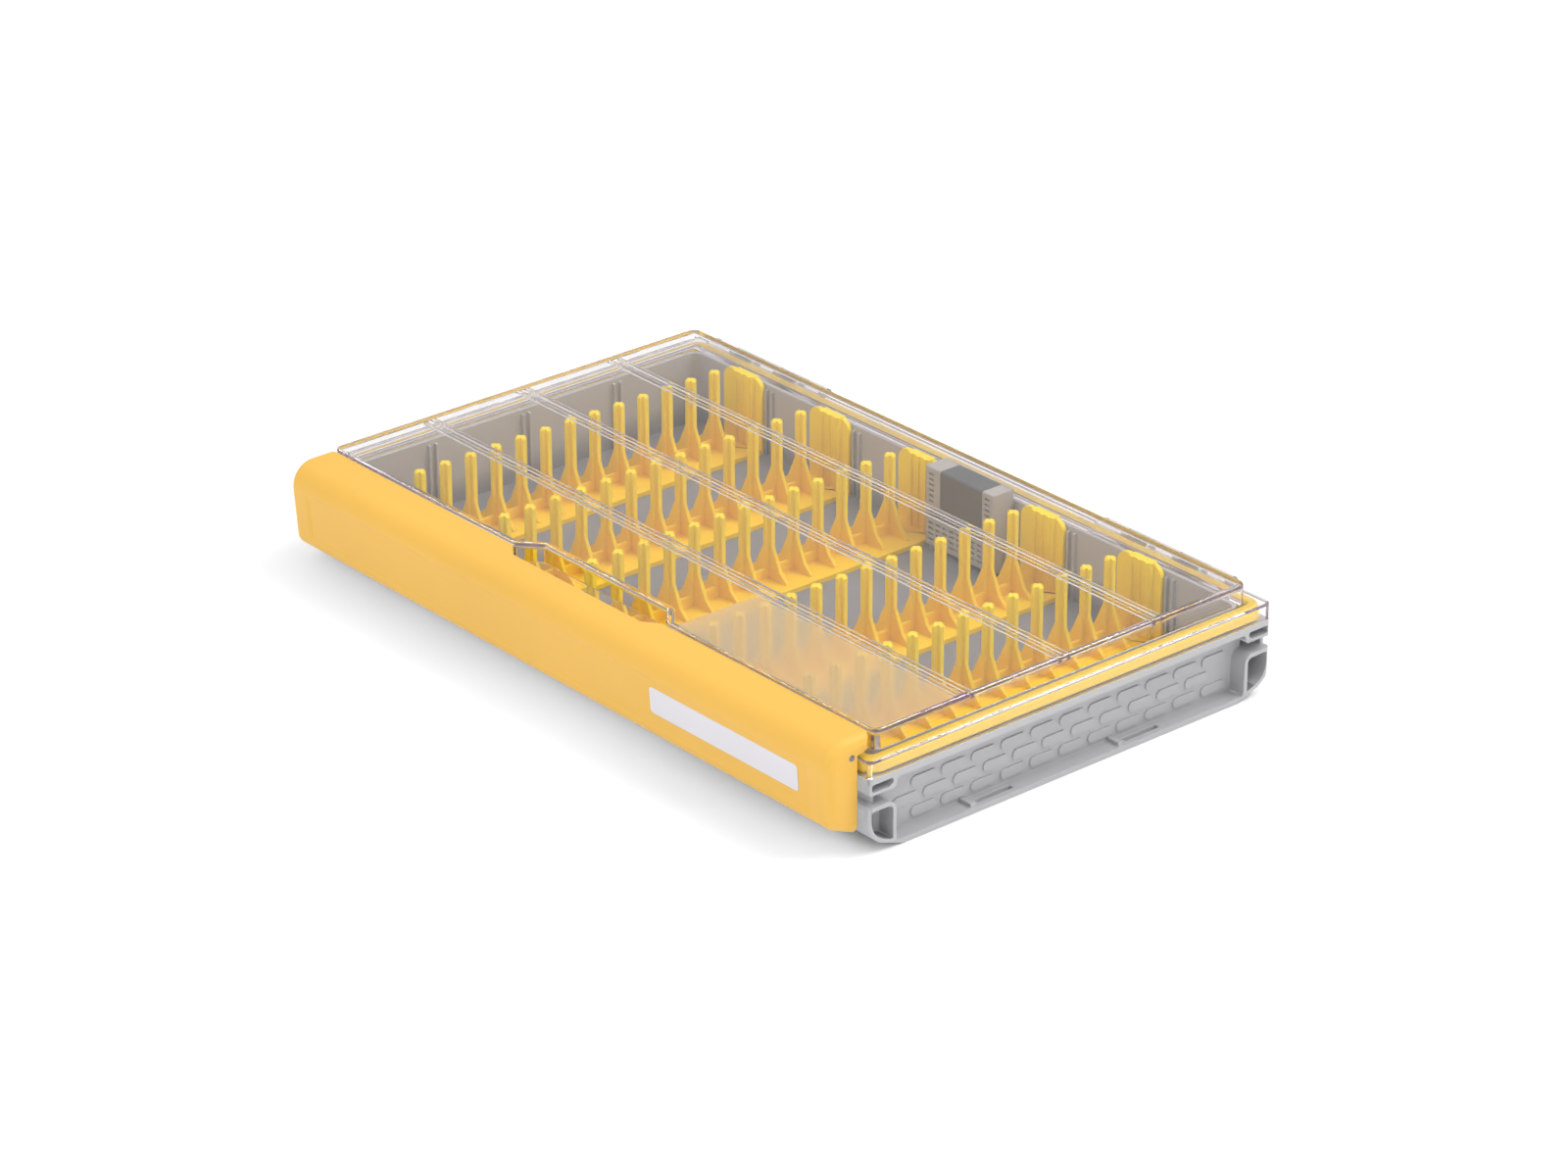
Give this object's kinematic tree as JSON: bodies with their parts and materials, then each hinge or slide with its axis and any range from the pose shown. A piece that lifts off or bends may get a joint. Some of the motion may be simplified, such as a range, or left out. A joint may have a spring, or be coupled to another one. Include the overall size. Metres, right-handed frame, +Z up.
{
  "type": "fishing jig box",
  "caption": "Flat tray with a clear hinged lid, a full-length rocking latch, rows of comb posts that hold jigs by their hooks, and a moisture cartridge.",
  "frame": {"origin": "on the surface that the box stands on, under the middle of the tray", "axes": "+X along the box towards the end with the name label, +Y from the latch towards the hinges, +Z up"},
  "size_m": [0.356, 0.2362, 0.0485],
  "materials": {
    "tray_plastic": "satin",
    "lid_clear": "clear gloss",
    "seal_rubber": "satin",
    "latch_plastic": "satin",
    "rod_steel": "satin",
    "label_paper": "matte",
    "pin_steel": "satin",
    "comb_plastic": "satin",
    "cartridge_plastic": "matte",
    "pad_felt": "matte",
    "cartridge_label_film": "satin"
  },
  "bodies": {
    "tray": {"tray": "tray_plastic", "hinge_pin_left": "pin_steel", "hinge_pin_right": "pin_steel", "comb_1": "comb_plastic", "comb_2": "comb_plastic", "comb_3": "comb_plastic", "comb_4": "comb_plastic", "comb_5": "comb_plastic", "cartridge_case": "cartridge_plastic", "cartridge_cover": "cartridge_plastic", "absorbent_pad": "pad_felt", "cartridge_label": "cartridge_label_film"},
    "lid": {"lid": "lid_clear", "lid_seal": "seal_rubber", "latch_rod": "rod_steel"},
    "latch": {"latch": "latch_plastic", "latch_label": "label_paper"}
  },
  "joints": [
    {"name": "lid_hinge", "type": "hinge", "parent": "tray", "child": "lid", "pos_m": [0, 0.1111, 0.037], "axis": [-1, 0, 0], "range_deg": [0, 110]},
    {"name": "latch_pivot", "type": "hinge", "parent": "lid", "child": "latch", "pos_m": [0, -0.1104, 0.041], "axis": [-1, 0, 0], "range_deg": [0, 11]}
  ]
}
